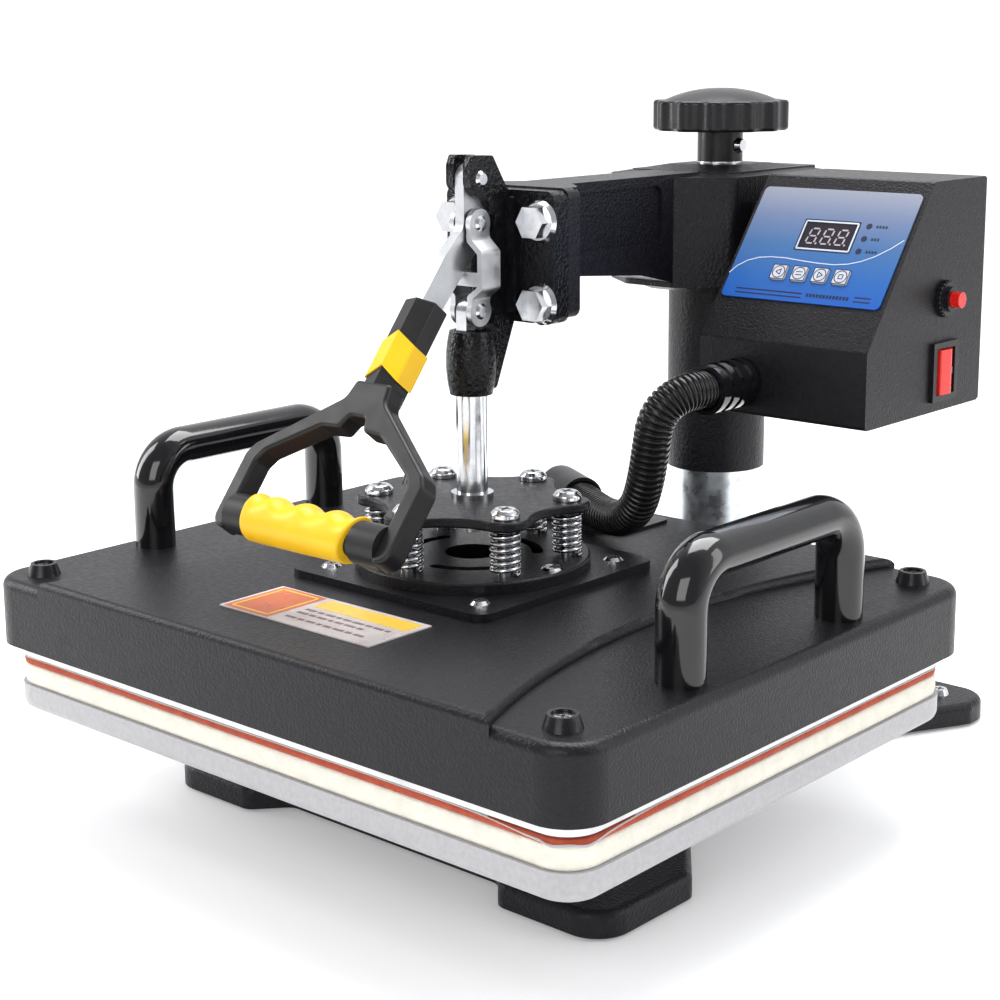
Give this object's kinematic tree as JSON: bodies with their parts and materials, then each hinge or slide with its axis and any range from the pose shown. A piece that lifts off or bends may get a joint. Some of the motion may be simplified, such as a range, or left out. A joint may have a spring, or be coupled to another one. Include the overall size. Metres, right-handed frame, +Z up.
{
  "type": "heat press",
  "caption": "Swing-away flat heat press: toggle lever with framed grip, sprung heating platen with side handles, post with pressure knob, slanted control box and padded lower platen.",
  "frame": {"origin": "on the floor under the middle of the press's footprint", "axes": "+X to the operator's right, +Y to the rear, away from the operator, +Z up; the operator stands at -Y"},
  "size_m": [0.3952, 0.464, 0.3686],
  "materials": {
    "black_paint": "fine textured powder coat",
    "gloss_black_casting": "gloss black paint over rough casting",
    "black_rubber": "matte",
    "bright_zinc": "bright zinc plate",
    "galvanised_steel": "galvanised",
    "brass_nut": "plain",
    "silver_paint": "satin silver paint on a casting",
    "cream_sponge": "matte silicone sponge",
    "red_foam": "matte silicone foam",
    "white_cloth": "coated glass cloth",
    "black_plastic": "satin",
    "gloss_black_plastic": "gloss",
    "blue_overlay": "printed film",
    "blue_key": "printed film",
    "dark_window": "tinted",
    "green_board": "plain",
    "red_plastic": "gloss",
    "yellow_plastic": "satin",
    "cast_aluminium": "machined",
    "label_foil": "foil"
  },
  "bodies": {
    "base": {"base_frame": "black_paint", "rubber_feet": "black_rubber", "foot_screws": "bright_zinc", "post": "galvanised_steel", "lift_nut": "brass_nut", "lower_tray": "silver_paint", "sponge_pad": "cream_sponge", "foam_sheet": "red_foam", "release_sheet": "white_cloth"},
    "lift_carriage": {"thrust_washer": "bright_zinc"},
    "knob": {"pressure_knob": "black_plastic", "knob_hub": "black_paint", "knob_set_screw": "bright_zinc", "lift_spindle": "bright_zinc"},
    "swing_arm": {"arm_casting": "black_paint", "toggle_bracket": "gloss_black_casting", "bracket_bolts": "bright_zinc", "anchor_pin": "bright_zinc", "control_box": "black_paint", "box_back": "black_paint", "panel_overlay": "blue_overlay", "display_window": "dark_window", "circuit_board": "green_board", "breaker_body": "black_plastic", "rocker_bezel": "black_plastic", "power_inlet": "black_plastic", "hose_gland": "gloss_black_plastic", "heater_hose": "gloss_black_plastic"},
    "button_1": {"panel_button_1": "blue_key"},
    "button_2": {"panel_button_2": "blue_key"},
    "button_3": {"panel_button_3": "blue_key"},
    "button_4": {"panel_button_4": "blue_key"},
    "reset_button": {"breaker_button": "red_plastic"},
    "power_rocker": {"rocker_switch": "red_plastic"},
    "lever": {"lever_bar": "bright_zinc", "crank_pin": "bright_zinc", "grip_frame": "black_plastic", "grip_band": "yellow_plastic", "finger_grip": "yellow_plastic"},
    "link": {"toggle_link": "bright_zinc", "link_rivets": "bright_zinc"},
    "plunger": {"plunger_rod": "bright_zinc", "rod_collar": "bright_zinc", "pressure_plate": "black_paint", "rod_nut": "bright_zinc"},
    "heat_platen": {"spring_screws": "bright_zinc", "platen_springs": "bright_zinc", "spring_disc": "black_paint", "mounting_plate": "black_paint", "platen_screws": "bright_zinc", "cup_washers": "black_plastic", "platen_cover": "black_paint", "heater_plate": "cast_aluminium", "heating_element": "bright_zinc", "left_handle": "gloss_black_plastic", "right_handle": "gloss_black_plastic", "label_plate": "label_foil", "hose_elbow": "black_plastic"}
  },
  "joints": [
    {"name": "arm_lift", "type": "slide", "parent": "base", "child": "lift_carriage", "axis": [0, 0, 1], "range_m": [0, 0.02]},
    {"name": "knob_turn", "type": "hinge", "parent": "lift_carriage", "child": "knob", "pos_m": [0, 0.138, 0.345], "axis": [0, 0, 1], "range_deg": [0, 2880.5]},
    {"name": "arm_swing", "type": "hinge", "parent": "lift_carriage", "child": "swing_arm", "pos_m": [0, 0.138, 0.3], "axis": [0, 0, 1], "continuous": true},
    {"name": "lever_pivot", "type": "hinge", "parent": "swing_arm", "child": "lever", "pos_m": [0, -0.074, 0.3293], "axis": [-1, 0, 0], "range_deg": [0, 90]},
    {"name": "link_pivot", "type": "hinge", "parent": "lever", "child": "link", "pos_m": [0, -0.074, 0.3074], "axis": [-1, 0, 0], "range_deg": [-121, 0]},
    {"name": "plunger_slide", "type": "slide", "parent": "swing_arm", "child": "plunger", "axis": [0, 0, 1], "range_m": [0, 0.02793], "deforming": ["heater_hose"]},
    {"name": "platen_float", "type": "slide", "parent": "plunger", "child": "heat_platen", "axis": [0, 0, 1], "range_m": [0, 0.003], "stiffness_N_per_m": 30000, "springref_m": -0.004, "deforming": ["platen_springs"]},
    {"name": "button_1_press", "type": "slide", "parent": "swing_arm", "child": "button_1", "axis": [0, 0.7941, -0.6078], "range_m": [0, 0.0006], "stiffness_N_per_m": 1500, "springref_m": -0.0008},
    {"name": "button_2_press", "type": "slide", "parent": "swing_arm", "child": "button_2", "axis": [0, 0.7941, -0.6078], "range_m": [0, 0.0006], "stiffness_N_per_m": 1500, "springref_m": -0.0008},
    {"name": "button_3_press", "type": "slide", "parent": "swing_arm", "child": "button_3", "axis": [0, 0.7941, -0.6078], "range_m": [0, 0.0006], "stiffness_N_per_m": 1500, "springref_m": -0.0008},
    {"name": "button_4_press", "type": "slide", "parent": "swing_arm", "child": "button_4", "axis": [0, 0.7941, -0.6078], "range_m": [0, 0.0006], "stiffness_N_per_m": 1500, "springref_m": -0.0008},
    {"name": "reset_press", "type": "slide", "parent": "swing_arm", "child": "reset_button", "axis": [-1, 0, 0], "range_m": [0, 0.003], "stiffness_N_per_m": 600, "springref_m": -0.002},
    {"name": "rocker_tilt", "type": "hinge", "parent": "swing_arm", "child": "power_rocker", "pos_m": [0.154, 0.12, 0.225], "axis": [0, 0, -1], "range_deg": [0, 18]}
  ],
  "couplings": [
    {"joint": "knob_turn", "follows": "arm_lift", "rad_per_m": 2513.3},
    {"joint": "link_pivot", "follows": "lever_pivot", "ratio": -1.3367},
    {"joint": "plunger_slide", "follows": "lever_pivot", "m_per_rad": 0.017717}
  ]
}
